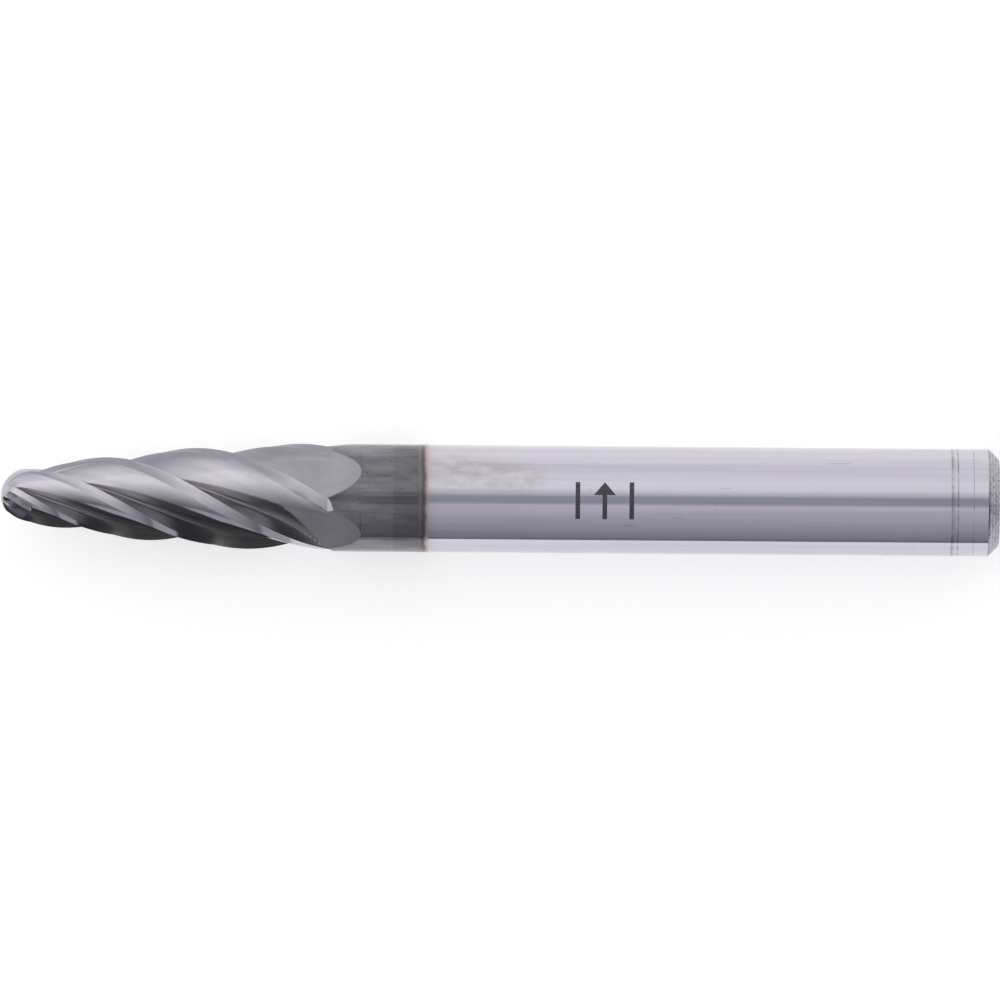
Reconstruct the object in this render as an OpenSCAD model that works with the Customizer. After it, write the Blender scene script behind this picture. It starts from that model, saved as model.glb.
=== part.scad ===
// Tapered ball-nose end mill with five helical teeth.
// A tungsten carbide cutting head is brazed to a round steel shank through a copper shim,
// with a film of silver solder on each side of the shim.
// The axis lies along X. The tip is at -X and the end face of the shank is at the origin.

/* [Shank] */
// Diameter of the shank, and of the head where the two meet
shank_d = 6; // [5:0.5:8]
// Length from the tip to the end face of the shank
overall_length = 55.7; // [45:0.1:80]
// Width of the 45 degree chamfer round the end face
end_chamfer = 0.6; // [0.2:0.1:1]

/* [Cutting head] */
// Radius of the ball nose
nose_r = 1.5; // [1:0.1:2]
// Distance from the tip to where the curved taper reaches the full diameter
taper_length = 18.1; // [17:0.1:18.2]
// Distance from the tip to where the lands of the teeth end
land_length = 18.3; // [18.3:0.05:19]
// Distance from the tip to where the last of each flute runs out
flute_length = 20.15; // [19.5:0.05:21]
// Distance from the tip to the face that is brazed
head_length = 23.3; // [22:0.1:26]

/* [Teeth] */
// Number of teeth
teeth = 5; // [4:1:6]
// Helix angle along the curved surface, right-hand
helix_angle = 30; // [15:1:40]
// Turn of the whole set of teeth about the axis, in degrees
tooth_phase = -1.5; // [-36:0.5:36]
// Angle that one land covers, in degrees
land_angle = 16; // [8:1:24]
// Drop of the land from its cutting edge to its heel, as a share of the radius
land_relief = 0.055; // [0.02:0.005:0.09]
// Radius of the core between the flutes, as a share of the full radius
core_share = 0.62; // [0.5:0.01:0.75]
// Lean of the cutting face, in degrees for each unit of depth share
face_lean = 20; // [5:1:30]
// Length over which a flute rises from the core to the surface
run_out = 4.5; // [3:0.1:7]

/* [Braze joint] */
// Thickness of each film of silver solder
solder_t = 0.15; // [0.1:0.01:0.25]
// Thickness of the copper shim
shim_t = 0.3; // [0.2:0.01:0.5]

/* [Hidden] */
$fn = 96;

shank_r = shank_d / 2;
pitch = 360 / teeth;

// Arc of the taper: tangent to the shank's cylinder and to the ball nose
arc_r = (pow(taper_length - nose_r, 2) + pow(shank_r, 2) - pow(nose_r, 2)) / (2 * (shank_r - nose_r));
arc_centre_r = shank_r - arc_r;
nose_tilt = atan2(taper_length - nose_r, arc_r - shank_r);
nose_end = nose_r * (1 - sin(nose_tilt));

// Places along X
tip_x = -overall_length;
head_x = tip_x + head_length;
shim_x = head_x + solder_t;
shank_solder_x = shim_x + shim_t;
shank_x = shank_solder_x + solder_t;
shank_length = -shank_x;

// How finely the head is drawn: points on a land and on the back of a tooth, rings on each stretch
land_steps = 4;
back_steps = 10;
nose_rings = 9;
taper_rings = 48;
run_out_rings = 8;
smallest_face_angle = 1.5;
step_length = 0.15;
// The toothed part ends this much inside the neck's circle, so that the two join cleanly
seam_inset = 0.002;

// Radius of the solid that the teeth are cut from, at a distance z behind the tip
function envelope(z) =
    z < nose_end ? sqrt(max(0, 2 * nose_r * z - z * z)) :
    z < taper_length ? arc_centre_r + sqrt(pow(arc_r, 2) - pow(taper_length - z, 2)) :
    shank_r;

// Integral of dz / radius along the taper's arc, from z to the end of the taper, in radians
arc_root = sqrt(pow(arc_r, 2) - pow(arc_centre_r, 2));
function artanh(v) = 0.5 * ln((1 + v) / (1 - v));
function arc_turn(z) =
    let (a = asin((taper_length - z) / arc_r))
    let (inner = tan(a / 2) * sqrt((arc_r - arc_centre_r) / (arc_r + arc_centre_r)))
    a * PI / 180 - 2 * arc_centre_r / arc_root * artanh(inner);

// The same integral over the ball nose
function nose_turn(z) = (asin((nose_end - nose_r) / nose_r) - asin((z - nose_r) / nose_r)) * PI / 180;

// Angle of the first cutting edge about the axis, where the helix angle is constant on the surface
function turn_to_taper_end(z) =
    z < nose_end ? arc_turn(nose_end) + nose_turn(z) :
    z < taper_length ? arc_turn(z) :
    (taper_length - z) / shank_r;
function edge_angle(z) = tooth_phase - tan(helix_angle) * turn_to_taper_end(z) * 180 / PI;

// Radius share of the flute's deepest line, which rises over the run-out
function foot_share(z) =
    let (rise = max(0, min(1, (z - land_length + run_out) / run_out)))
    core_share + (1 - core_share) * pow(rise, 1.5);

// Angle of that line behind the cutting edge
function foot_angle(z) = pitch - max(smallest_face_angle, face_lean * (1 - foot_share(z)));

// Polar radius at angle t of the straight line between two points given as [angle, radius]
function chord(a, b, t) = a[1] * b[1] * sin(b[0] - a[0]) / (a[1] * sin(t - a[0]) + b[1] * sin(b[0] - t));

// Outline of one tooth and its flute, as a share of the envelope's radius
function tooth_share(t, z) =
    let (edge = [0, 1])
    let (heel = [land_angle, 1 - land_relief])
    let (foot = [foot_angle(z), foot_share(z)])
    let (next_edge = [pitch, 1])
    t < heel[0] ? chord(edge, heel, t) :
    t < foot[0] ? chord(heel, foot, t) :
    chord(foot, next_edge, t);

// Flat where the flute runs out, a chord that rises to the surface at flute_length
facet_middle = (land_angle + pitch) / 2;
facet_start = cos((pitch - land_angle) / 2);
function facet_share(t, z) =
    let (rise = min(1, (z - land_length) / (flute_length - land_length)))
    min(1, (facet_start + (1 - facet_start) * rise) / cos(t - facet_middle));

// Angles behind the cutting edge at which a ring has points
function tooth_angles(z) = concat(
    [for (i = [0 : land_steps - 1]) land_angle * i / land_steps],
    [for (i = [0 : back_steps - 1]) land_angle + (foot_angle(z) - land_angle) * i / back_steps],
    [foot_angle(z), (foot_angle(z) + pitch) / 2]
);

function ring(z) =
    let (cut_z = min(z, land_length))
    [for (k = [0 : teeth - 1], t = tooth_angles(cut_z))
        let (share = z <= land_length ? tooth_share(t, z) : facet_share(t, z))
        let (r = envelope(z) * share - (z < flute_length ? 0 : seam_inset))
        let (a = edge_angle(cut_z) + pitch * k + t)
        [tip_x + z, -r * sin(a), r * cos(a)]];

stations = concat(
    [for (i = [1 : nose_rings]) nose_r * (1 - cos(i * (90 - asin(1 - nose_end / nose_r)) / nose_rings))],
    [for (i = [1 : taper_rings]) nose_end + (land_length - nose_end) * i / taper_rings],
    [for (i = [0 : run_out_rings])
        land_length + step_length + (flute_length - land_length - step_length) * i / run_out_rings]
);

// Skin over a list of rings of equal size, closed by a point at the front and a flat at the back
module skin(rings, tip) {
    n = len(rings[0]);
    last = len(rings) - 1;
    points = concat([for (one = rings, p = one) p], [tip]);
    nose_faces = [for (j = [0 : n - 1]) [len(points) - 1, j, (j + 1) % n]];
    side_faces = [for (i = [0 : last - 1], j = [0 : n - 1])
        let (a = i * n + j)
        let (b = i * n + (j + 1) % n)
        each [[a, a + n, b], [b, a + n, b + n]]];
    back_face = [for (j = [n - 1 : -1 : 0]) last * n + j];
    polyhedron(points, concat(nose_faces, side_faces, [back_face]));
}

// Disc of the full diameter whose front face is at x
module disc(x, thickness) {
    translate([x, 0, 0]) rotate([0, 90, 0]) cylinder(r = shank_r, h = thickness);
}

// Carbide head: ball nose, curved taper, helical teeth and a plain neck
module cutting_head() color("dimgray") union() {
    skin([for (z = stations) ring(z)], [tip_x, 0, 0]);
    disc(tip_x + flute_length, head_length - flute_length);
}

// Silver solder between the head and the shim
module head_side_braze() color("tan") disc(head_x, solder_t);

// Copper shim that takes up the strain between carbide and steel
module copper_shim() color("sienna") disc(shim_x, shim_t);

// Silver solder between the shim and the shank
module shank_side_braze() color("tan") disc(shank_solder_x, solder_t);

// Steel shank, ground all over, with a chamfered end
module shank() color("silver") union() {
    disc(shank_x, shank_length - end_chamfer);
    translate([-end_chamfer, 0, 0]) rotate([0, 90, 0])
        cylinder(r1 = shank_r, r2 = shank_r - end_chamfer, h = end_chamfer);
}

cutting_head();
head_side_braze();
copper_shim();
shank_side_braze();
shank();
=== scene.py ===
"""Looks of a tapered ball-nose end mill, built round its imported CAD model.

Lengths are millimetres, as on a tool drawing, unless a comment says metres, and MM turns them into metres.
z is the distance behind the tip. An angle about the axis is in degrees from the side that faces up.
"""
import math

import bmesh
import bpy
import numpy as np
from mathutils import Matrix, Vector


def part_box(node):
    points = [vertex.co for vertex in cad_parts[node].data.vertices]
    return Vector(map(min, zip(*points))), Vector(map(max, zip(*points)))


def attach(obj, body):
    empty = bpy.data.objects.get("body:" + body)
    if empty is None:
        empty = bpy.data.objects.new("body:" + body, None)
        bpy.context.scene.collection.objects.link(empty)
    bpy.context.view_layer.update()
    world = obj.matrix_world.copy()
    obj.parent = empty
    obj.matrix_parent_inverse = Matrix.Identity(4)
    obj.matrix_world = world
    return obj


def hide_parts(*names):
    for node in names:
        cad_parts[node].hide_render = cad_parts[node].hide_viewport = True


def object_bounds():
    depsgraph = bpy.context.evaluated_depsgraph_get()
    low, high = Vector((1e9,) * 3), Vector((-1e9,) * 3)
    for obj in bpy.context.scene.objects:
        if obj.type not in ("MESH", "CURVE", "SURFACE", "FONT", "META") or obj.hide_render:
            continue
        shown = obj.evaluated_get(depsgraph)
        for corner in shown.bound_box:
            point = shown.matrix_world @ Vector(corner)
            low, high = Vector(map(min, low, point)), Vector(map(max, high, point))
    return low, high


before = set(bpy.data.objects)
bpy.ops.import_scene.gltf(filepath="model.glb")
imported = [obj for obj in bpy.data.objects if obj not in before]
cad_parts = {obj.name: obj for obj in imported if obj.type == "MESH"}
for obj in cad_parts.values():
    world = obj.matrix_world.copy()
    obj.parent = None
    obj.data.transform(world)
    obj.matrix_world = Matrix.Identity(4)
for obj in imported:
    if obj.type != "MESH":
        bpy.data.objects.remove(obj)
cad_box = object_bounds()

MM = 0.001
BODY = "root"
SHANK_R = (cad_box[1].z - cad_box[0].z) / 2 / MM
TIP_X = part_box("cutting_head")[0].x / MM
HEAD_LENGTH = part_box("cutting_head")[1].x / MM - TIP_X

# ---------------------------------------------------------------- shape of the cutting head
NOSE_R = 1.5
TAPER_LENGTH = 18.1
LAND_LENGTH = 18.27
FLUTE_LENGTH = 20.15
TEETH = 5
PITCH = 360 / TEETH
HELIX = 30
TOOTH_PHASE = -1.5
# The teeth are turned a little further towards the nose: angle, and where that begins and ends
NOSE_TURN = 9
NOSE_TURN_FROM = 1.0
NOSE_TURN_TO = 7.5
# The flutes are this share as deep at the tip, and reach their full depth this far behind it
NOSE_DEPTH = 0.3
NOSE_DEPTH_TO = 1.1

LAND_ANGLE = 15
HEEL_R = 0.957
HEEL_NORMAL = 34
FLOOR_POINT = (60, 0.625)
CORNER_POINT = (68.5, 0.585)
STEP_LENGTH = 0.35
# A short gash behind some of the lands at the nose, and the ridge that it leaves, as (angle, radius share)
GASHED_TEETH = (3, 1)
GASH_LENGTH = 1.82
GASH_FOOT = (31.5, 0.80)
GASH_RIDGE = (33.5, 0.93)
GASH_RIDGE_END = (35.5, 0.925)
GASH_HANDLE = (130, 0.1)
# Where a flute ends, its wheel leaves a flat: this far from the axis at the end of the lands, as a share
FLAT_START = 0.859
FLAT_MIDDLE = 41.2
FLAT_TURN = 1.0
# The flat fades in between these angles before its middle, and is whole this near the end of the lands
FLAT_FADE_FROM = 36
FLAT_FADE_TO = 22
FLAT_WHOLE = 1.2

# How far a section's curves run straight on from their ends: shares of the radius or of floor to corner
HEEL_HANDLE = 0.22
FLOOR_HANDLE = 2.4
GASH_FLOOR_HANDLE = 1.6
FACE_FLOOR_HANDLE = 0.7
FACE_EDGE_HANDLE = 0.12

LAND_POINTS = 16
# Points of the four stretches behind a gashed land, as many as a plain back has
GASH_STRETCHES = (20, 4, 2, 8)
BACK_POINTS = sum(GASH_STRETCHES)
FACE_POINTS = 20
FLUTE_POINTS = BACK_POINTS + FACE_POINTS
TOOTH_POINTS = LAND_POINTS + FLUTE_POINTS
NOSE_RINGS = 24
TAPER_RINGS = 200
RUN_OUT_RINGS = 36
NECK_RINGS = 4
# The last creases fade this many rings before the brazed face
SOFT_RINGS = 4

ARC_R = ((TAPER_LENGTH - NOSE_R) ** 2 + SHANK_R**2 - NOSE_R**2) / (2 * (SHANK_R - NOSE_R))
ARC_CENTRE_R = SHANK_R - ARC_R
NOSE_END = NOSE_R * (1 - math.sin(math.atan2(TAPER_LENGTH - NOSE_R, ARC_R - SHANK_R)))


def smooth_step(low, high, value):
    u = np.clip((value - low) / (high - low), 0, 1)
    return u * u * (3 - 2 * u)


def envelope(z):
    """Radius of the solid of revolution that the teeth are cut from."""
    if z < NOSE_END:
        return math.sqrt(max(0.0, 2 * NOSE_R * z - z * z))
    if z < TAPER_LENGTH:
        return ARC_CENTRE_R + math.sqrt(ARC_R**2 - (TAPER_LENGTH - z) ** 2)
    return SHANK_R


def arc_turn(z):
    """Integral of dz / radius from z to the end of the taper."""
    a = math.asin((TAPER_LENGTH - z) / ARC_R)
    inner = math.tan(a / 2) * math.sqrt((ARC_R - ARC_CENTRE_R) / (ARC_R + ARC_CENTRE_R))
    root = math.sqrt(ARC_R**2 - ARC_CENTRE_R**2)
    return a - 2 * ARC_CENTRE_R / root * math.atanh(inner)


def edge_angle(z):
    """Angle of the first cutting edge, whose helix angle is the same all along the surface."""
    if z < NOSE_END:
        on_nose = math.asin((NOSE_END - NOSE_R) / NOSE_R) - math.asin((z - NOSE_R) / NOSE_R)
        turn = arc_turn(NOSE_END) + on_nose
    elif z < TAPER_LENGTH:
        turn = arc_turn(z)
    else:
        turn = (TAPER_LENGTH - z) / SHANK_R
    extra = NOSE_TURN * (1 - float(smooth_step(NOSE_TURN_FROM, NOSE_TURN_TO, z)))
    return TOOTH_PHASE + extra - math.degrees(math.tan(math.radians(HELIX)) * turn)


def polar(angle, radius):
    a = math.radians(angle)
    return np.array([radius * math.cos(a), radius * math.sin(a)])


def line(start, end, count):
    """count points from start up to but not including end."""
    s = np.arange(count)[:, None] / count
    return start * (1 - s) + end * s


def bezier(p0, p1, p2, p3, count):
    s = np.arange(count)[:, None] / count
    return (1 - s) ** 3 * p0 + 3 * s * (1 - s) ** 2 * p1 + 3 * s**2 * (1 - s) * p2 + s**3 * p3


def tooth_section(z, gashed=False):
    """Section of one tooth and the flute behind it, on a unit radius, with the cutting edge at angle 0."""
    edge, heel, next_edge = polar(0, 1), polar(LAND_ANGLE, HEEL_R), polar(PITCH, 1)
    floor, corner = polar(*FLOOR_POINT), polar(*CORNER_POINT)
    land = line(edge, heel, LAND_POINTS)
    if gashed and z < GASH_LENGTH:
        foot, ridge, ridge_end = polar(*GASH_FOOT), polar(*GASH_RIDGE), polar(*GASH_RIDGE_END)
        to_foot, to_ridge, to_ridge_end, to_floor = GASH_STRETCHES
        off_ridge = ridge_end + polar(*GASH_HANDLE)
        behind = bezier(ridge_end, off_ridge, floor + (floor - corner) * GASH_FLOOR_HANDLE, floor, to_floor)
        gash = np.vstack([line(heel, foot, to_foot), line(foot, ridge, to_ridge)])
        back = np.vstack([gash, line(ridge, ridge_end, to_ridge_end), behind])
    else:
        off_heel = heel + polar(HEEL_NORMAL + 90, HEEL_HANDLE)
        back = bezier(heel, off_heel, floor + (floor - corner) * FLOOR_HANDLE, floor, BACK_POINTS)
    off_floor = floor + (corner - floor) * FACE_FLOOR_HANDLE
    to_edge = corner + (next_edge - corner) * FACE_EDGE_HANDLE
    face = bezier(floor, off_floor, to_edge, next_edge, FACE_POINTS)
    section = np.vstack([land, back, face])
    radii = np.hypot(section[:, 0], section[:, 1])
    depth = NOSE_DEPTH + (1 - NOSE_DEPTH) * smooth_step(0.0, NOSE_DEPTH_TO, z)
    return section * ((1 - (1 - radii) * depth) / radii)[:, None]


def tooth_outline(z, gashed=False):
    return raised(tooth_section(z, gashed), z)


def is_lifted(z):
    """Whether each point of a tooth's outline lies on the flat where the flute ends."""
    plain = tooth_section(z)
    return np.hypot(*raised(plain, z).T) > np.hypot(*plain.T) + 0.002


def flat_distance(z):
    """Distance of the flat from the axis, as a share of the radius. It surfaces at FLUTE_LENGTH."""
    return 1 - (1 - FLAT_START) * (FLUTE_LENGTH - z) / (FLUTE_LENGTH - LAND_LENGTH)


def raised(outline, z):
    """Lifts the floor of the flute to the flat that the wheel leaves as it comes out."""
    angles = np.degrees(np.arctan2(outline[:, 1], outline[:, 0]))
    radii = np.hypot(outline[:, 0], outline[:, 1])
    middle = FLAT_MIDDLE + edge_angle(LAND_LENGTH) - edge_angle(z)
    flat = flat_distance(z) / np.maximum(0.2, np.cos(np.radians(angles - middle)))
    near_end = smooth_step(LAND_LENGTH - FLAT_WHOLE, LAND_LENGTH, z)
    fade = smooth_step(middle - FLAT_FADE_FROM, middle - FLAT_FADE_TO, angles)
    weight = np.maximum(fade, near_end) * (angles > LAND_ANGLE - 0.01)
    radii = radii + np.maximum(0, np.minimum(flat, 1) - radii) * weight
    return np.stack([radii * np.cos(np.radians(angles)), radii * np.sin(np.radians(angles))], 1)


def lobe_sides(z):
    """Ends (angle, radius share) of the line that the flat makes in a section behind the lands."""
    u = min(1.0, (z - LAND_LENGTH) / (FLUTE_LENGTH - LAND_LENGTH))
    distance = min(1.0, flat_distance(z))
    middle = FLAT_MIDDLE + FLAT_TURN * u
    low_r = min(1.0, HEEL_R + (1 - HEEL_R) * (z - LAND_LENGTH) / STEP_LENGTH)
    low = middle - math.degrees(math.acos(min(1.0, distance / low_r)))
    return (low, low_r), (middle + math.degrees(math.acos(distance)), 1.0)


def run_out_ring(s):
    """Points (z, angle, radius share) of one tooth's stretch of a ring behind the lands."""
    warp = STEP_LENGTH * (1 - (s - LAND_LENGTH) / (FLUTE_LENGTH - LAND_LENGTH))
    ring = []
    for i in range(LAND_POINTS):
        share = i / LAND_POINTS
        z = s + warp * share**0.7
        (low, low_r), (high, _) = lobe_sides(z)
        ring.append((z, (high - PITCH) * (1 - share) + low * share, 1.0))
    for i in range(FLUTE_POINTS):
        share = i / FLUTE_POINTS
        z = s + warp * (1 - share)
        low, high = lobe_sides(z)
        point = polar(*low) * (1 - share) + polar(*high) * share
        ring.append((z, math.degrees(math.atan2(point[1], point[0])), float(np.hypot(*point))))
    return ring


def head_rings():
    """Rings of (x, y, z) points in metres, from the nose to the brazed face."""
    last_nose_angle = math.acos(1 - NOSE_END / NOSE_R)
    stations = [NOSE_R * (1 - math.cos(last_nose_angle * i / NOSE_RINGS)) for i in range(1, NOSE_RINGS)]
    stations += list(np.linspace(NOSE_END, LAND_LENGTH, TAPER_RINGS))
    rings = []
    for z in stations:
        ring = []
        for k in range(TEETH):
            outline = tooth_outline(z, k in GASHED_TEETH)
            angles = np.degrees(np.arctan2(outline[:, 1], outline[:, 0])) + k * PITCH
            radii = np.hypot(outline[:, 0], outline[:, 1]) * envelope(z)
            ring += [(z, edge_angle(z) + a, r) for a, r in zip(angles, radii)]
        rings.append(ring)
    end_angle = edge_angle(LAND_LENGTH)
    for s in np.linspace(LAND_LENGTH, FLUTE_LENGTH, RUN_OUT_RINGS):
        tooth = run_out_ring(s)
        turns = [end_angle + k * PITCH for k in range(TEETH)]
        rings.append([(z, turn + angle, r * SHANK_R) for turn in turns for z, angle, r in tooth])
    last = rings[-1]
    for z in np.linspace(FLUTE_LENGTH, HEAD_LENGTH, NECK_RINGS + 1)[1:]:
        rings.append([(z, a, r) for _, a, r in last])
    return [placed(ring) for ring in rings]


def placed(ring):
    """Points in metres from (z, angle, radius)."""
    points = []
    for z, angle, r in ring:
        a = math.radians(angle)
        points.append(((TIP_X + z) * MM, -r * math.sin(a) * MM, r * math.cos(a) * MM))
    return points


# ---------------------------------------------------------------- meshes
# Material slots of the head
LAND, FLUTE, CUTTING_FACE, NECK = range(4)
# Points closer than this many metres are one point
WELD_DISTANCE = 2e-7
# Sides of every turned piece
AROUND = 192


def new_object(name, mesh):
    obj = bpy.data.objects.new(name, mesh)
    bpy.context.scene.collection.objects.link(obj)
    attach(obj, BODY)
    return obj


def make_head():
    rings = head_rings()
    around = TEETH * TOOTH_POINTS
    verts = [p for ring in rings for p in ring] + [(TIP_X * MM, 0.0, 0.0)]
    faces = []
    slots = []
    taper_rings = NOSE_RINGS + TAPER_RINGS - 2
    for i in range(len(rings) - 1):
        lifted = is_lifted(rings[i][0][0] / MM - TIP_X) if i < taper_rings else None
        for j in range(around):
            k = (j + 1) % around
            faces.append((i * around + j, (i + 1) * around + j, (i + 1) * around + k, i * around + k))
            place = j % TOOTH_POINTS
            if i < taper_rings:
                on_face = place >= LAND_POINTS + BACK_POINTS and not lifted[place]
                slots.append(LAND if place < LAND_POINTS else CUTTING_FACE if on_face else FLUTE)
            elif place >= LAND_POINTS:
                slots.append(FLUTE)
            else:
                slots.append(LAND if i == taper_rings else NECK)
    for j in range(around):
        faces.append((len(verts) - 1, j, (j + 1) % around))
        slots.append(FLUTE)
    last = (len(rings) - 1) * around
    faces.append(tuple(last + j for j in reversed(range(around))))
    slots.append(NECK)
    mesh = bpy.data.meshes.new("cutting_head_ground")
    mesh.from_pydata(verts, [], faces)
    mesh.polygons.foreach_set("material_index", slots)
    mark_grooves(mesh, rings)
    mark_creases(mesh, rings, around, taper_rings)
    weld(mesh)
    return mesh


def mark_grooves(mesh, rings):
    """Stores each point's depth below the blank's surface, for the painted shade in the flutes, and its
    place along X, for the grinding marks.
    """
    values = []
    for ring in rings:
        z = max(0.02, ring[0][0] / MM - TIP_X)
        values += [(1 - math.hypot(y, up) / MM / envelope(z), x / MM, 0) for x, y, up in ring]
    values.append((0, TIP_X, 0))
    attribute = mesh.attributes.new("groove", "FLOAT_VECTOR", "POINT")
    attribute.data.foreach_set("vector", [number for value in values for number in value])


def mark_creases(mesh, rings, around, taper_rings):
    """Edges of the lands, the heels, the steps behind the lands and the run-outs stay crisp."""
    sharp = np.zeros(len(mesh.edges), bool)
    for index, edge in enumerate(mesh.edges):
        a, b = edge.vertices
        if max(a, b) >= len(rings) * around:
            continue
        column_a, column_b = a % around % TOOTH_POINTS, b % around % TOOTH_POINTS
        ring_a, ring_b = a // around, b // around
        if column_a == column_b and column_a in (0, LAND_POINTS):
            sharp[index] = min(ring_a, ring_b) < len(rings) - SOFT_RINGS
        if ring_a == ring_b and ring_a in (taper_rings, taper_rings + 1):
            sharp[index] = max(column_a, column_b) <= LAND_POINTS and abs(column_a - column_b) == 1
        if ring_a == ring_b == len(rings) - 1:
            sharp[index] = True
    attribute = mesh.attributes.get("sharp_edge") or mesh.attributes.new("sharp_edge", "BOOLEAN", "EDGE")
    attribute.data.foreach_set("value", sharp)


def weld(mesh):
    bm = bmesh.new()
    bm.from_mesh(mesh)
    bmesh.ops.remove_doubles(bm, verts=bm.verts, dist=WELD_DISTANCE)
    bmesh.ops.recalc_face_normals(bm, faces=bm.faces)
    bm.to_mesh(mesh)
    bm.free()
    mesh.update()


def lathe(name, profile):
    """A solid turned about X from (x, radius, is_sharp) points, closed at both ends."""
    verts = []
    for x, r, _ in profile:
        for j in range(AROUND):
            a = 2 * math.pi * j / AROUND
            verts.append((x * MM, -r * math.sin(a) * MM, r * math.cos(a) * MM))
    faces = []
    for i in range(len(profile) - 1):
        here, there = i * AROUND, (i + 1) * AROUND
        for j in range(AROUND):
            k = (j + 1) % AROUND
            faces.append((here + j, there + j, there + k, here + k))
    faces.append(tuple(range(AROUND)))
    last = (len(profile) - 1) * AROUND
    faces.append(tuple(last + j for j in reversed(range(AROUND))))
    mesh = bpy.data.meshes.new(name)
    mesh.from_pydata(verts, [], faces)
    sharp = []
    for edge in mesh.edges:
        ring_a, ring_b = (vertex // AROUND for vertex in edge.vertices)
        sharp.append(ring_a == ring_b and profile[ring_a][2])
    attribute = mesh.attributes.new("sharp_edge", "BOOLEAN", "EDGE")
    attribute.data.foreach_set("value", sharp)
    weld(mesh)
    return new_object(name, mesh)


# ---------------------------------------------------------------- materials
# Painted shade at the bottom of the flutes: the base colour is darkened by depth in the flute, as a share
# of the radius
PAINTED_FLUTE_SHADE = [(0.0, 1.0), (0.33, 1.0), (0.385, 0.62), (0.40, 0.25), (0.415, 0.14)]
# Base colours of the neck, from stained to clean, and where the polishing stopped
NECK_TONES = [(0.3, (0.15, 0.14, 0.156)), (0.5, (0.20, 0.19, 0.215)), (0.7, (0.25, 0.24, 0.272))]
NECK_STEP_X = TIP_X + 21.95
JOINT_LOW_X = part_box("head_side_braze")[0].x / MM
JOINT_HIGH_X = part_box("shank_side_braze")[1].x / MM
# Base colour across the joint, as a share of its width
JOINT_TONES = [
    (0.0, (0.16, 0.15, 0.16)), (0.15, (0.22, 0.205, 0.215)), (0.3, (0.17, 0.155, 0.16)),
    (0.5, (0.12, 0.105, 0.11)), (0.62, (0.20, 0.17, 0.175)), (0.73, (0.36, 0.31, 0.31)),
    (0.88, (0.50, 0.44, 0.44)), (1.0, (0.54, 0.48, 0.49)),
]
SHANK_TONES = [(0.3, (0.535, 0.515, 0.585)), (0.5, (0.585, 0.565, 0.64)), (0.7, (0.62, 0.60, 0.675))]
# Tint by distance from the joint, in millimetres
HEAT_TINTS = [(0.0, (0.93, 0.85, 0.82)), (0.28, (0.98, 0.95, 0.93)), (0.75, (1.0, 1.0, 1.0))]
SCRATCH_COLOUR = (0.16, 0.16, 0.18)
SMUDGE_COLOUR = (0.34, 0.31, 0.33)
SCUFF_COLOUR = (0.16, 0.155, 0.165)
# Scratches: noise scale in cycles per millimetre, strength, level of the noise that shows
SHANK_MARKS = (
    ((0.5, 9.0, 9.0), 0.55, 0.27),
    ((2.5, 2.5, 14.0), 0.45, 0.25),
)
# Smudges: centre, half size, strength
SHANK_SMUDGES = (
    ((-29.8, 1.6, 2.5), (2.6, 1.4, 1.6), 0.5),
    ((-27.0, 1.2, 2.7), (2.2, 1.2, 1.2), 0.4),
    ((-6.3, -2.9, 0.6), (0.25, 0.25, 0.3), 0.9),
)
# Scuffed rings: place along X, half width and strength
SHANK_SCUFFS = ((-2.62, 0.16, 0.42), (-2.66, 0.04, 0.6), (-2.34, 0.06, 0.75), (-1.46, 0.035, 0.6))
# Turning marks on the end face, in radians per millimetre from the axis
TURNING_RATE = 40.0


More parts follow.
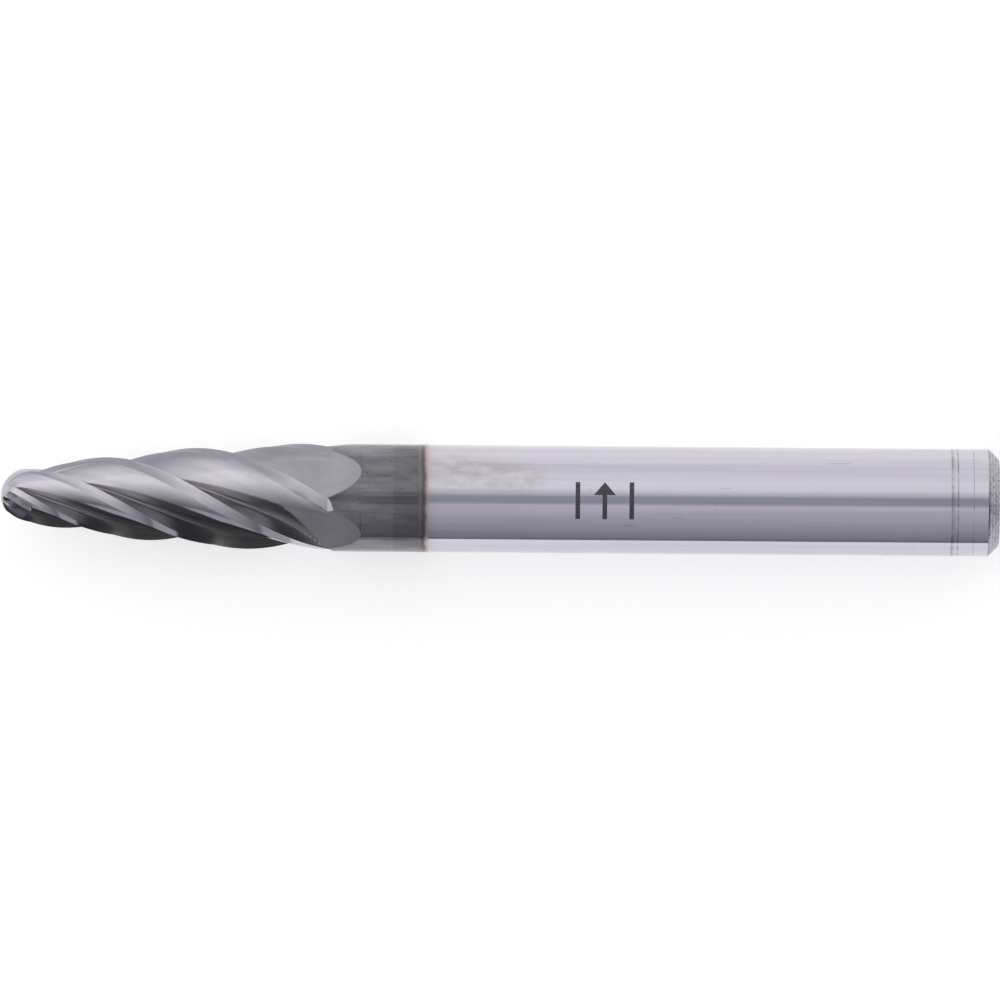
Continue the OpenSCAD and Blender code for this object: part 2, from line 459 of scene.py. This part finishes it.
class Nodes:
    """Short names for the node calls that the materials share."""

    def __init__(self, name):
        self.material = bpy.data.materials.new(name)
        self.material.use_nodes = True
        self.tree = self.material.node_tree
        self.shader = self.tree.nodes["Principled BSDF"]
        self.place = self.add("ShaderNodeTexCoord").outputs["Object"]

    def add(self, kind, **settings):
        node = self.tree.nodes.new(kind)
        for key, value in settings.items():
            setattr(node, key, value)
        return node

    def link(self, source, socket):
        if hasattr(source, "is_output"):
            self.tree.links.new(source, socket)
        else:
            socket.default_value = source

    def noise(self, scale, detail=3.0, rough=0.5, distortion=0.0, place=None):
        """Noise whose scale is in cycles per millimetre along X, Y and Z."""
        mapping = self.add("ShaderNodeMapping")
        self.link(place or self.place, mapping.inputs["Vector"])
        mapping.inputs["Scale"].default_value = [s / MM for s in scale]
        node = self.add("ShaderNodeTexNoise")
        self.link(mapping.outputs["Vector"], node.inputs["Vector"])
        node.inputs["Scale"].default_value = 1.0
        node.inputs["Detail"].default_value = detail
        node.inputs["Roughness"].default_value = rough
        node.inputs["Distortion"].default_value = distortion
        return node.outputs["Fac"]

    def ramp(self, value, stops, smooth=False):
        """Colours or greys by value; stops are (position, colour)."""
        node = self.add("ShaderNodeValToRGB")
        self.link(value, node.inputs["Fac"])
        node.color_ramp.interpolation = "EASE" if smooth else "LINEAR"
        elements = node.color_ramp.elements
        while len(elements) < len(stops):
            elements.new(0.5)
        for element, (position, colour) in zip(elements, stops):
            element.position = position
            element.color = (*colour, 1) if hasattr(colour, "__len__") else (colour, colour, colour, 1)
        return node.outputs["Color"]

    def math(self, operation, a, b=0.0):
        node = self.add("ShaderNodeMath", operation=operation)
        for socket, value in zip(node.inputs, (a, b)):
            self.link(value, socket)
        return node.outputs["Value"]

    def mix(self, factor, a, b, blend="MIX"):
        node = self.add("ShaderNodeMix", data_type="RGBA", blend_type=blend)
        self.link(factor, node.inputs["Factor"])
        self.link(a if hasattr(a, "is_output") else (*a, 1), node.inputs[6])
        self.link(b if hasattr(b, "is_output") else (*b, 1), node.inputs[7])
        return node.outputs[2]

    def axes(self):
        """x, y and z of the surface point, in millimetres."""
        node = self.add("ShaderNodeSeparateXYZ")
        self.link(self.place, node.inputs["Vector"])
        return [self.math("MULTIPLY", node.outputs[k], 1 / MM) for k in range(3)]

    def groove(self):
        """The point's depth in the flute, as a share of the radius, and a place for marks along it."""
        node = self.add("ShaderNodeAttribute", attribute_name="groove")
        split = self.add("ShaderNodeSeparateXYZ")
        self.link(node.outputs["Vector"], split.inputs["Vector"])
        place = self.add("ShaderNodeVectorMath", operation="SCALE")
        self.link(node.outputs["Vector"], place.inputs[0])
        place.inputs["Scale"].default_value = MM
        return split.outputs["X"], place.outputs["Vector"]

    def bump(self, height, depth):
        """Bump whose full height range is depth millimetres."""
        node = self.add("ShaderNodeBump")
        node.inputs["Strength"].default_value = 1.0
        node.inputs["Distance"].default_value = depth * MM
        self.link(height, node.inputs["Height"])
        self.link(node.outputs["Normal"], self.shader.inputs["Normal"])

    def colour(self, tone):
        self.link(tone, self.shader.inputs["Base Color"])

    def multiply(self, tone, by, amount=1.0):
        return self.mix(amount, tone, by, "MULTIPLY")

    def axis_distance(self):
        """Distance of the surface point from the tool's axis, in millimetres."""
        _, y, z = self.axes()
        return self.math("SQRT", self.math("ADD", self.math("MULTIPLY", y, y), self.math("MULTIPLY", z, z)))


def metal(name, roughness):
    n = Nodes(name)
    n.shader.inputs["Metallic"].default_value = 1.0
    n.shader.inputs["Roughness"].default_value = roughness
    return n


def ground_carbide(name, colour, roughness, marks, contrast, depth):
    """Carbide with grinding marks along the flute, and painted shade that darkens the bottom of the flute
    by its depth.
    """
    n = metal(name, roughness)
    share, along = n.groove()
    lines = n.noise(marks, detail=4, rough=0.6, place=along)
    patches = n.noise((0.35, 0.7, 0.7), detail=4, rough=0.6)
    tone = n.ramp(patches, [(0.3, [c * 0.90 for c in colour]), (0.7, [c * 1.05 for c in colour])])
    tone = n.multiply(tone, n.ramp(lines, [(0.35, 1 - contrast), (0.65, 1.0)]))
    # Painted shade: the base colour darkens towards the bottom of the flute, by its depth
    n.colour(n.multiply(tone, n.ramp(share, PAINTED_FLUTE_SHADE, smooth=True)))
    n.bump(lines, depth)
    return n.material


def tinted_neck():
    """Dark carbide with long heat stains, specks and one faint step where the polishing stopped."""
    n = metal("carbide_tinted_neck", 0.17)
    x, _, _ = n.axes()
    cloud = n.noise((0.35, 1.3, 1.3), detail=5, rough=0.55, distortion=0.15)
    tone = n.ramp(cloud, NECK_TONES)
    stains = n.ramp(n.noise((0.3, 5.0, 5.0), detail=3, rough=0.6), [(0.34, 0.66), (0.50, 1.0)])
    tone = n.multiply(tone, stains, 0.45)
    tone = n.multiply(tone, n.ramp(n.noise((7, 7, 7), detail=2), [(0.28, 0.5), (0.34, 1.0)]))
    step = n.ramp(n.math("SUBTRACT", x, NECK_STEP_X - 0.5), [(0.47, 1.0), (0.53, 0.86)])
    n.colour(n.multiply(tone, step))
    n.bump(n.noise((9, 9, 9), detail=4), 0.0008)
    return n.material


def joint_metal(name, roughness):
    """Ground-flush joint, darkest at the shim and fading to the metal on each side."""
    n = metal(name, roughness)
    x, _, _ = n.axes()
    wander = n.math("MULTIPLY", n.math("SUBTRACT", n.noise((0.6, 1.2, 1.2), detail=4), 0.5), 0.25)
    past_head = n.math("SUBTRACT", n.math("ADD", x, wander), JOINT_LOW_X)
    tone = n.ramp(n.math("DIVIDE", past_head, JOINT_HIGH_X - JOINT_LOW_X), JOINT_TONES)
    mottle = n.ramp(n.noise((3, 2.5, 2.5), detail=3), [(0.3, 0.88), (0.7, 1.0)])
    n.colour(n.multiply(tone, mottle))
    n.bump(n.noise((12, 4, 4), detail=4), 0.002)
    return n.material


def spot_mask(n, axes, centre, size):
    """Brightest at centre, in millimetres, falling to 0 outside an ellipsoid of that half size."""
    total = 0.0
    for axis, middle, half in zip(axes, centre, size):
        share = n.math("DIVIDE", n.math("SUBTRACT", axis, middle), half)
        total = n.math("ADD", n.math("MULTIPLY", share, share), total)
    return n.ramp(total, [(0.1, 1.0), (1.0, 0.0)])


def scratched(n, tone):
    """Sparse dark handling scratches."""
    for scale, amount, level in SHANK_MARKS:
        marks = n.noise(scale, detail=2, rough=0.5, distortion=0.5)
        scratch = n.ramp(marks, [(level - 0.02, 1.0), (level + 0.02, 0.0)])
        sparse = n.ramp(n.noise((0.35, 0.6, 0.6), detail=3), [(0.5, 0.0), (0.62, 1.0)])
        strength = n.math("MULTIPLY", n.math("MULTIPLY", scratch, sparse), amount)
        tone = n.mix(strength, tone, SCRATCH_COLOUR)
    return tone


def smudged(n, tone):
    """Cloudy stains at a few places."""
    axes = n.axes()
    for centre, size, amount in SHANK_SMUDGES:
        stain = n.noise((1.0, 2.0, 2.0), detail=4, rough=0.6, distortion=0.3)
        cloud = n.ramp(stain, [(0.38, 1.0), (0.62, 0.0)])
        mask = n.math("MULTIPLY", spot_mask(n, axes, centre, size), cloud)
        tone = n.mix(n.math("MULTIPLY", mask, amount), tone, SMUDGE_COLOUR)
    return tone


def scuffed(n, tone):
    """Broken rings that a holder has rubbed near the end."""
    x = n.axes()[0]
    broken = n.ramp(n.noise((1.5, 1.6, 1.6), detail=4, rough=0.7), [(0.34, 0.15), (0.6, 1.0)])
    for place, half, amount in SHANK_SCUFFS:
        off = n.math("ABSOLUTE", n.math("SUBTRACT", x, place))
        ring = n.ramp(off, [(half * 0.3, amount), (half, 0.0)])
        tone = n.mix(n.math("MULTIPLY", ring, broken), tone, SCUFF_COLOUR)
    return tone


def shank_steel():
    """Centreless-ground steel: streaks along its length, wear near the end, heat tint near the joint."""
    n = metal("shank_ground_steel", 0.06)
    tone = n.ramp(n.noise((0.035, 1.7, 1.7), detail=5, rough=0.6), SHANK_TONES)
    bands = n.ramp(n.noise((2.6, 0.05, 0.05), detail=4, rough=0.6), [(0.35, 0.985), (0.6, 1.0)])
    tone = scuffed(n, smudged(n, scratched(n, n.multiply(tone, bands))))
    past_joint = n.math("SUBTRACT", n.axes()[0], JOINT_HIGH_X)
    n.colour(n.multiply(tone, n.ramp(past_joint, HEAT_TINTS)))
    n.bump(n.noise((40, 0.0, 0.0), detail=4, rough=0.7), 0.0006)
    return n.material


def chamfer_steel():
    """Turned, unpolished end: rough, with dark specks and fine rings."""
    n = metal("shank_end_steel", 0.38)
    spots = n.noise((7, 7, 7), detail=5, rough=0.7)
    specks = n.ramp(spots, [(0.34, (0.20, 0.195, 0.21)), (0.52, (0.55, 0.54, 0.59))])
    turned = n.math("SINE", n.math("MULTIPLY", n.axis_distance(), TURNING_RATE))
    n.colour(n.multiply(specks, n.ramp(turned, [(0.0, 0.72), (0.6, 1.0)])))
    n.bump(n.noise((9, 9, 9), detail=5, rough=0.7), 0.007)
    return n.material


def etched_steel():
    """Laser-etched mark: matt and grey."""
    n = metal("shank_etch", 0.5)
    grain = n.noise((14, 14, 14), detail=3)
    n.colour(n.ramp(grain, [(0.3, (0.07, 0.07, 0.08)), (0.7, (0.14, 0.14, 0.16))]))
    n.bump(n.noise((16, 16, 16), detail=2), 0.003)
    return n.material


# ---------------------------------------------------------------- pieces
# Width of the shank's end chamfer and rounding of its edges
CHAMFER = 0.6
EDGE = 0.05
SHANK_STEPS = 24
# Centre of the mark along X and round the shank from the top, and its height above the steel and depth
MARK_PLACE = (-22.0, 0.06)
MARK_LIFT = 0.004
MARK_DEPTH = 0.03
# Line width, half height, length and half width of the arrow's head, and place of the bars beside it
MARK_LINE = 0.26
MARK_HALF = 1.05
ARROW_HEAD = 0.74
ARROW_HALF = 0.62
ARROW_TIP = 0.001
BAR_PLACE = 1.5
# Each line of the mark bends round the shank in this many pieces
MARK_STEPS = 10


def build_head():
    mesh = make_head()
    for material in (
        ground_carbide("carbide_land", (0.565, 0.548, 0.605), 0.13, (60.0, 0.5, 1.0), 0.10, 0.0006),
        ground_carbide("carbide_flute", (0.545, 0.528, 0.588), 0.12, (13.0, 0.2, 1.0), 0.10, 0.0004),
        ground_carbide("carbide_cutting_face", (0.49, 0.47, 0.49), 0.16, (24.0, 0.3, 1.0), 0.30, 0.001),
        tinted_neck(),
    ):
        mesh.materials.append(material)
    head = new_object("cutting_head_ground", mesh)
    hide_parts("cutting_head")


def build_joint():
    for node, name, slot in (
        ("head_side_braze", "head_braze_film", "silver_solder"),
        ("copper_shim", "copper_shim_ring", "copper"),
        ("shank_side_braze", "shank_braze_film", "silver_solder"),
    ):
        low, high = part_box(node)
        ring = lathe(name, [(low.x / MM, SHANK_R, True), (high.x / MM, SHANK_R, True)])
        ring.data.materials.append(joint_metal(name + "_metal", 0.25))
        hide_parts(node)


def build_shank():
    low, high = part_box("shank")
    start, end = low.x / MM, high.x / MM
    turn = end - CHAMFER
    profile = [(start, SHANK_R, True)]
    profile += [(x, SHANK_R, False) for x in np.linspace(start, turn - EDGE, SHANK_STEPS)[1:]]
    profile += [(turn, SHANK_R - EDGE * 0.3, False), (turn + EDGE, SHANK_R - EDGE * 1.1, False)]
    profile += [(end - EDGE, SHANK_R - CHAMFER + EDGE, False), (end, SHANK_R - CHAMFER - EDGE, False)]
    shank = lathe("shank_ground", profile)
    shank.data.materials.append(shank_steel())
    shank.data.materials.append(chamfer_steel())
    for face in shank.data.polygons:
        if face.center.x > (turn - EDGE) * MM:
            face.material_index = 1
    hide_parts("shank")


def etched_strip(bm, outline):
    """Lays a flat outline of (x, distance round the shank) points on the cylinder."""
    r = SHANK_R + MARK_LIFT
    verts = [bm.verts.new((x * MM, -r * math.sin(v / SHANK_R) * MM, r * math.cos(v / SHANK_R) * MM))
             for x, v in outline]
    bm.faces.new(verts)


def sink(bm, depth):
    """Gives the strips on the cylinder a thickness towards the axis, so that each is a closed solid."""
    made = bmesh.ops.extrude_face_region(bm, geom=bm.faces[:])
    for vert in (item for item in made["geom"] if isinstance(item, bmesh.types.BMVert)):
        radius = math.hypot(vert.co.y, vert.co.z)
        share = (radius - depth * MM) / radius
        vert.co.y *= share
        vert.co.z *= share


def strip(x, start, end):
    """Pieces of a straight line round the shank, centred on x."""
    ends = [start + (end - start) * i / MARK_STEPS for i in range(MARK_STEPS + 1)]
    low, high = x - MARK_LINE / 2, x + MARK_LINE / 2
    return [[(low, v0), (high, v0), (high, v1), (low, v1)] for v0, v1 in zip(ends, ends[1:])]


def arrow_head():
    """Pieces of a triangle that points the way the tool turns."""
    shares = [k / MARK_STEPS for k in range(MARK_STEPS + 1)]
    rows = [(max(ARROW_TIP, ARROW_HALF * share), ARROW_HEAD * share - MARK_HALF) for share in shares]
    return [[(-w0, v0), (w0, v0), (w1, v1), (-w1, v1)] for (w0, v0), (w1, v1) in zip(rows, rows[1:])]


def build_mark():
    """A plain arrow between two bars, etched on the shank: the direction in which the tool turns."""
    bm = bmesh.new()
    centre_x, centre_v = MARK_PLACE
    shapes = strip(-BAR_PLACE, -MARK_HALF, MARK_HALF)
    shapes += strip(BAR_PLACE, -MARK_HALF, MARK_HALF)
    shapes += strip(0, ARROW_HEAD - MARK_HALF, MARK_HALF)
    shapes += arrow_head()
    for shape in shapes:
        etched_strip(bm, [(centre_x + x, centre_v + v) for x, v in shape])
    bmesh.ops.remove_doubles(bm, verts=bm.verts, dist=WELD_DISTANCE / 2)
    sink(bm, MARK_DEPTH)
    bmesh.ops.recalc_face_normals(bm, faces=bm.faces)
    mesh = bpy.data.meshes.new("rotation_mark")
    bm.to_mesh(mesh)
    bm.free()
    mesh.materials.append(etched_steel())
    new_object("rotation_mark", mesh)


# ---------------------------------------------------------------- stage, light and camera
# Light from around the tool: (angle from straight up in degrees, positive towards -Y; colour)
ROOM = (
    (24, (0.62, 0.62, 0.64)), (38, (0.54, 0.54, 0.57)), (52, (0.45, 0.46, 0.49)),
    (66, (0.38, 0.39, 0.42)), (84, (0.30, 0.31, 0.345)), (98, (0.23, 0.24, 0.275)),
    (180, (0.23, 0.24, 0.275)),
)
SKY = (
    (-180, (1.0, 1.0, 1.0)), (-84, (1.0, 1.0, 1.0)), (-82, (0.93, 0.93, 0.94)),
    (-60, (1.0, 1.0, 1.0)), (-24, (1.0, 1.0, 1.0)), (-17.8, (0.87, 0.87, 0.88)),
    (-11, (0.66, 0.67, 0.69)), (-6, (0.40, 0.42, 0.46)), (8.5, (0.38, 0.41, 0.46)),
    (10.8, (0.69, 0.68, 0.70)), *ROOM,
)
# A little to the tip's side, the side panel is dimmer and a lamp overhead begins to show
NEAR_SKY = (
    (-180, (1.0, 1.0, 1.0)), (-86, (0.56, 0.56, 0.58)), (-40, (0.58, 0.58, 0.60)),
    (-22, (0.72, 0.72, 0.73)), (-12, (0.95, 0.94, 0.94)), (14, (0.86, 0.86, 0.87)),
    (24, (0.70, 0.70, 0.72)), *ROOM[1:],
)
# Well to the tip's side, the lamp is bright and the room behind it dark
LAMP_SKY = (
    (-180, (0.95, 0.95, 0.95)), (-86, (0.73, 0.73, 0.75)), (-50, (1.02, 1.02, 1.04)),
    (-20, (1.12, 1.11, 1.12)), (-14, (1.32, 1.30, 1.31)), (14, (1.22, 1.20, 1.21)),
    (34, (0.95, 0.94, 0.96)), (54, (0.66, 0.66, 0.68)), (72, (0.42, 0.42, 0.44)),
    (84, (0.26, 0.26, 0.27)), (93, (0.07, 0.07, 0.075)), (180, (0.05, 0.05, 0.055)),
)
# Between those two
SOFT_SKY = (
    (-180, (0.9, 0.9, 0.9)), (-86, (0.54, 0.54, 0.56)), (-50, (0.67, 0.67, 0.69)),
    (-20, (0.78, 0.78, 0.79)), (-10, (0.88, 0.87, 0.87)), (14, (0.90, 0.89, 0.89)),
    (34, (0.74, 0.74, 0.75)), (54, (0.54, 0.54, 0.56)), (72, (0.40, 0.40, 0.42)),
    (84, (0.30, 0.30, 0.31)), (93, (0.22, 0.22, 0.23)), (180, (0.1, 0.1, 0.1)),
)
# To the shank's side
FAR_SKY = (
    (-180, (0.8, 0.8, 0.8)), (-90, (0.95, 0.94, 0.93)), (-60, (0.92, 0.91, 0.90)),
    (-35, (0.62, 0.61, 0.60)), (-10, (0.18, 0.18, 0.18)), (20, (0.09, 0.09, 0.095)),
    (180, (0.09, 0.09, 0.095)),
)
# Which light shows, by how far a direction leans along +X
SKIES = (
    (-0.58, LAMP_SKY), (-0.34, SOFT_SKY), (-0.20, NEAR_SKY), (-0.09, SKY), (0.10, SKY), (0.24, FAR_SKY),
)
# What the camera sees beyond the floor, and the floor's own glow, which keeps it white
PALE = (0.92, 0.92, 0.92, 1)
FLOOR_GREY = (0.85, 0.85, 0.85, 1)
FLOOR_GLOW = 0.54
# Half the floor's side and the height of the cards above it, in metres
FLOOR_HALF = 3.0
CARD_LIFT = 0.00005
CARD_TINT = (1.0, 1.0, 1.06, 1)
# Cards on the floor that show only in the metal: brightness, and outline as (x from the tip, y)
CARDS = (
    ("black_card", 0.03, ((14.5, -1.2), (14.5, -7.0), (-12.0, -7.0), (-5.0, -1.2))),
    ("near_card", 0.48, ((-60.0, -7.0), (18.3, -7.0), (18.3, -35.0), (-60.0, -35.0))),
    ("room_card", 0.23, ((-2900.0, -35.0), (2900.0, -35.0), (2900.0, -2900.0), (-2900.0, -2900.0))),
    ("side_card", 0.57, ((2.0, 1.5), (18.3, 1.5), (18.3, 2900.0), (-2900.0, 2900.0), (-21.0, 60.0))),
)
# The camera looks straight down from far off; distances and the width of its frame are in metres
CAMERA_DISTANCE = 0.8
CAMERA_X_OFFSET = 0.00002
CAMERA_Y = -0.00006
FRAME_WIDTH = 0.0558
ROLL = math.radians(0.446)
SENSOR = 36
CLIP_END = 20


def sky_ramp(tree, value, low, high, stops):
    """Colours along a range of values."""
    share = tree.nodes.new("ShaderNodeMapRange")
    share.inputs["From Min"].default_value = low
    share.inputs["From Max"].default_value = high
    tree.links.new(value, share.inputs["Value"])
    ramp = tree.nodes.new("ShaderNodeValToRGB")
    elements = ramp.color_ramp.elements
    while len(elements) < len(stops):
        elements.new(0.5)
    for element, (at, colour) in zip(elements, stops):
        element.position = (at - low) / (high - low)
        element.color = (*colour, 1)
    tree.links.new(share.outputs["Result"], ramp.inputs["Fac"])
    return ramp.outputs["Color"]


def sky_math(tree, operation, a, b):
    node = tree.nodes.new("ShaderNodeMath")
    node.operation = operation
    for socket, value in zip(node.inputs, (a, b)):
        if hasattr(value, "is_output"):
            tree.links.new(value, socket)
        else:
            socket.default_value = value
    return node.outputs["Value"]


def sky_mix(tree, factor, a, b):
    node = tree.nodes.new("ShaderNodeMix")
    node.data_type = "RGBA"
    for socket, value in ((node.inputs["Factor"], factor), (node.inputs[6], a), (node.inputs[7], b)):
        if hasattr(value, "is_output"):
            tree.links.new(value, socket)
        else:
            socket.default_value = value
    return node.outputs[2]


def build_world():
    """A large soft panel on the +Y side, a dim room on the -Y side, and a dark gap overhead."""
    world = bpy.data.worlds.new("studio")
    bpy.context.scene.world = world
    world.use_nodes = True
    tree = world.node_tree
    place = tree.nodes.new("ShaderNodeTexCoord")
    split = tree.nodes.new("ShaderNodeSeparateXYZ")
    tree.links.new(place.outputs["Generated"], split.inputs[0])
    x, y, z = (split.outputs[k] for k in range(3))
    turn = sky_math(tree, "ARCTAN2", sky_math(tree, "MULTIPLY", y, -1), z)
    angle = sky_math(tree, "MULTIPLY", turn, 180 / math.pi)
    seen = sky_ramp(tree, angle, -180, 180, SKIES[0][1])
    for (start, _), (end, stops) in zip(SKIES, SKIES[1:]):
        share = sky_ramp(tree, x, start, end, ((start, (0,) * 3), (end, (1,) * 3)))
        seen = sky_mix(tree, share, seen, sky_ramp(tree, angle, -180, 180, stops))
    camera = tree.nodes.new("ShaderNodeLightPath").outputs["Is Camera Ray"]
    tree.links.new(sky_mix(tree, camera, seen, PALE), tree.nodes["Background"].inputs["Color"])


def glowing(name, colour, tint, glow):
    """A matt material with no gloss that gives off some light."""
    material = bpy.data.materials.new(name)
    material.use_nodes = True
    shader = material.node_tree.nodes["Principled BSDF"]
    shader.inputs["Base Color"].default_value = colour
    shader.inputs["Roughness"].default_value = 0.9
    shader.inputs["Specular IOR Level"].default_value = 0.0
    shader.inputs["Emission Color"].default_value = tint
    shader.inputs["Emission Strength"].default_value = glow
    return material


def staged(name, points, material):
    """A flat piece of the stage from corner points in metres."""
    mesh = bpy.data.meshes.new(name)
    mesh.from_pydata(points, [], [tuple(range(len(points)))])
    mesh.materials.append(material)
    piece = bpy.data.objects.new(name, mesh)
    bpy.context.scene.collection.objects.link(piece)
    return piece


def build_floor():
    z = cad_box[0].z
    corners = [(x * FLOOR_HALF, y * FLOOR_HALF, z) for x, y in ((-1, -1), (1, -1), (1, 1), (-1, 1))]
    staged("floor", corners, glowing("floor", FLOOR_GREY, (1, 1, 1, 1), FLOOR_GLOW))


def build_cards():
    """Dark cards beside the tool, as a photographer sets them to deepen what a polished surface shows."""
    z = cad_box[0].z + CARD_LIFT
    for name, level, outline in CARDS:
        corners = [((TIP_X + x) * MM, y * MM, z) for x, y in outline]
        card = staged(name, corners, glowing(name, (0.0, 0.0, 0.0, 1), CARD_TINT, level))
        for way in ("camera", "diffuse", "shadow", "transmission", "volume_scatter"):
            setattr(card, "visible_" + way, False)


def build_camera():
    data = bpy.data.cameras.new("camera")
    data.sensor_width = SENSOR
    data.lens = data.sensor_width * CAMERA_DISTANCE / FRAME_WIDTH
    data.clip_end = CLIP_END
    camera = bpy.data.objects.new("camera", data)
    bpy.context.scene.collection.objects.link(camera)
    middle = (cad_box[0].x + cad_box[1].x) / 2
    camera.location = (middle + CAMERA_X_OFFSET, CAMERA_Y, CAMERA_DISTANCE)
    camera.rotation_euler = (0, 0, ROLL)
    bpy.context.scene.camera = camera


bpy.context.scene.view_settings.view_transform = "Standard"
build_camera()
build_world()
build_floor()
build_cards()
build_head()
build_joint()
build_shank()
build_mark()
